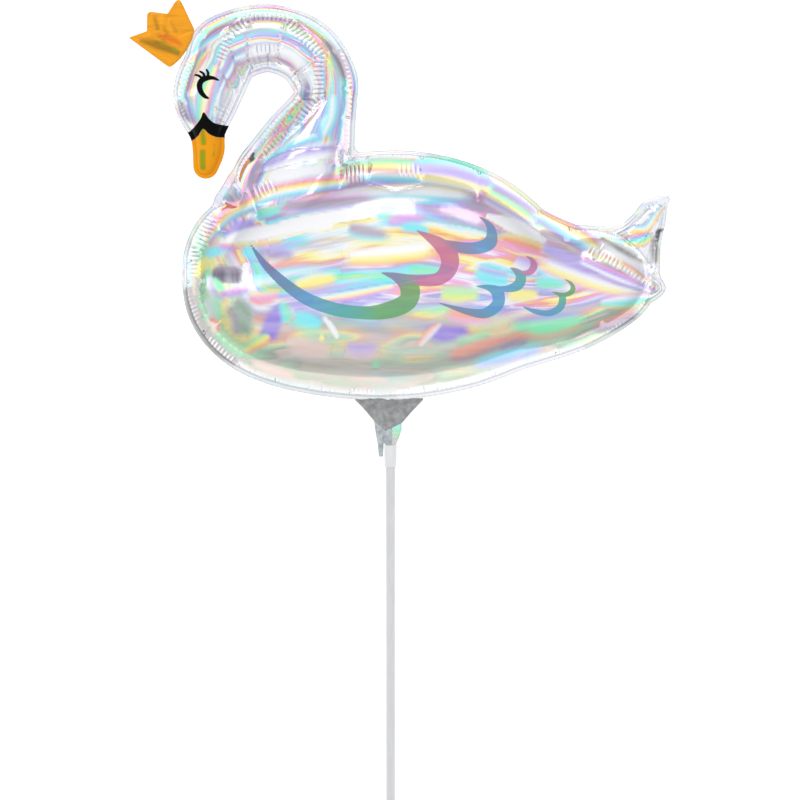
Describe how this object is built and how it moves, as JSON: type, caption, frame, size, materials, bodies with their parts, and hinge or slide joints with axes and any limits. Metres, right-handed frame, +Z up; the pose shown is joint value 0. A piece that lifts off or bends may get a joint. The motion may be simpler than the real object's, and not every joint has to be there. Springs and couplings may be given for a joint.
{
  "type": "swan foil balloon on a stick",
  "caption": "Air-filled holographic foil balloon shaped as a crowned swan, with a flat welded seam, a gathered filling neck, a clear collar and a slim hollow stick, lying on its side.",
  "frame": {"origin": "on the ground, under the middle of the whole object's box", "axes": "+Z up, across the swan's two foil faces as it lies on its side; +Y from the stick's end to the swan's head; +X from the bill to the tail"},
  "size_m": [0.355, 0.5966, 0.1027],
  "materials": {
    "holographic_foil": "silvered film with rainbow diffraction, printed gold crown and bill",
    "clear_collar": "translucent moulded plastic",
    "white_stick": "satin extruded plastic"
  },
  "bodies": {
    "root": {"balloon": "holographic_foil", "collar": "clear_collar", "stick": "white_stick"}
  },
  "joints": []
}
